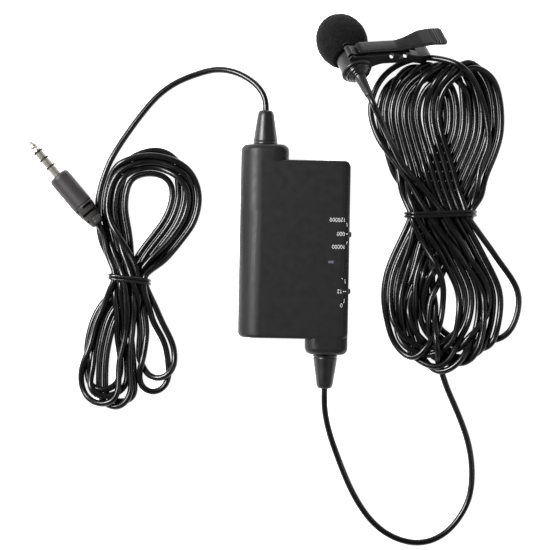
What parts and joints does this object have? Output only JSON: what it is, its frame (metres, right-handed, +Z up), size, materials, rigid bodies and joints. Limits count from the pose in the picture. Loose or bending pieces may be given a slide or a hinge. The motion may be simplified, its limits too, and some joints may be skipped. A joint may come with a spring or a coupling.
{
  "type": "lavalier microphone",
  "caption": "Clip-on lavalier microphone with foam windscreen, inline battery power module with slide switches, hanked cords and a four-pole 3.5 mm plug.",
  "frame": {"origin": "middle of the power module's flat back, which rests on the surface", "axes": "+Z up from the surface, +Y along the module towards the phone cord, +X towards its switches"},
  "size_m": [0.1579, 0.1694, 0.0229],
  "materials": {
    "case_plastic": "fine matte texture",
    "door_plastic": "fine matte texture",
    "screw_steel": "satin",
    "cell_steel": "polished",
    "contact_steel": "satin",
    "board": "solder mask",
    "components": "moulded",
    "light_pipe": "frosted",
    "switch_steel": "satin",
    "knob_plastic": "smooth",
    "relief_rubber": "satin",
    "cord_jacket": "satin",
    "tie_plastic": "gloss",
    "gold_plating": "polished",
    "insulator_plastic": "smooth",
    "handle_plastic": "satin",
    "boot_rubber": "satin",
    "foam": "open-cell foam",
    "housing_metal": "satin black",
    "grille_metal": "satin",
    "capsule_steel": "satin",
    "clip_plastic": "smooth satin",
    "pin_steel": "satin",
    "spring_steel": "satin"
  },
  "bodies": {
    "power_pack": {"case_front": "case_plastic", "case_back": "case_plastic", "case_screws": "screw_steel", "button_cell": "cell_steel", "battery_spring": "contact_steel", "battery_contact": "contact_steel", "circuit_board": "board", "board_components": "components", "light_pipe": "light_pipe", "power_switch_body": "switch_steel", "pad_switch_body": "switch_steel", "phone_strain_relief": "relief_rubber", "mic_strain_relief": "relief_rubber", "phone_cord_lead": "cord_jacket", "phone_cord_hank": "cord_jacket", "phone_cord_tail": "cord_jacket", "phone_hank_tie": "tie_plastic", "plug_tip": "gold_plating", "plug_ring_1": "gold_plating", "plug_ring_2": "gold_plating", "plug_sleeve": "gold_plating", "plug_insulators": "insulator_plastic", "plug_handle": "handle_plastic", "plug_boot": "boot_rubber", "mic_cord_lead": "cord_jacket", "mic_cord_hank": "cord_jacket", "mic_cord_tail": "cord_jacket", "mic_hank_tie": "tie_plastic", "clip_lower_lever": "clip_plastic", "clip_pin": "pin_steel"},
    "door": {"battery_door": "door_plastic"},
    "power_knob": {"power_switch_knob": "knob_plastic"},
    "pad_knob": {"pad_switch_knob": "knob_plastic"},
    "mic_head": {"capsule_housing": "housing_metal", "housing_back_cap": "housing_metal", "capsule_grille": "grille_metal", "electret_capsule": "capsule_steel", "mic_boot": "boot_rubber"},
    "windscreen": {"foam_windscreen": "foam"},
    "clip_lever": {"clip_upper_lever": "clip_plastic", "clip_spring": "spring_steel"}
  },
  "joints": [
    {"name": "power_switch_slide", "type": "slide", "parent": "power_pack", "child": "power_knob", "axis": [0, 1, 0], "range_m": [-0.00235, 0.00235]},
    {"name": "pad_switch_slide", "type": "slide", "parent": "power_pack", "child": "pad_knob", "axis": [0, 1, 0], "range_m": [-0.00235, 0.00235]},
    {"name": "battery_door_slide", "type": "slide", "parent": "power_pack", "child": "door", "axis": [0, -1, 0], "range_m": [0, 0.02]},
    {"name": "clip_open", "type": "hinge", "parent": "power_pack", "child": "clip_lever", "pos_m": [0.03151, 0.06371, 0.00992], "axis": [-0.3654, 0.7754, -0.5151], "range_deg": [0, 20], "stiffness_Nm_per_rad": 0.02, "springref_deg": -22.92},
    {"name": "mic_turn", "type": "hinge", "parent": "power_pack", "child": "mic_head", "pos_m": [0.01755, 0.05865, 0.01375], "axis": [0.3654, -0.7754, 0.5151], "range_deg": [-90, 90]},
    {"name": "windscreen_pull", "type": "slide", "parent": "mic_head", "child": "windscreen", "axis": [-0.3654, 0.7754, -0.5151], "range_m": [0, 0.01]}
  ]
}
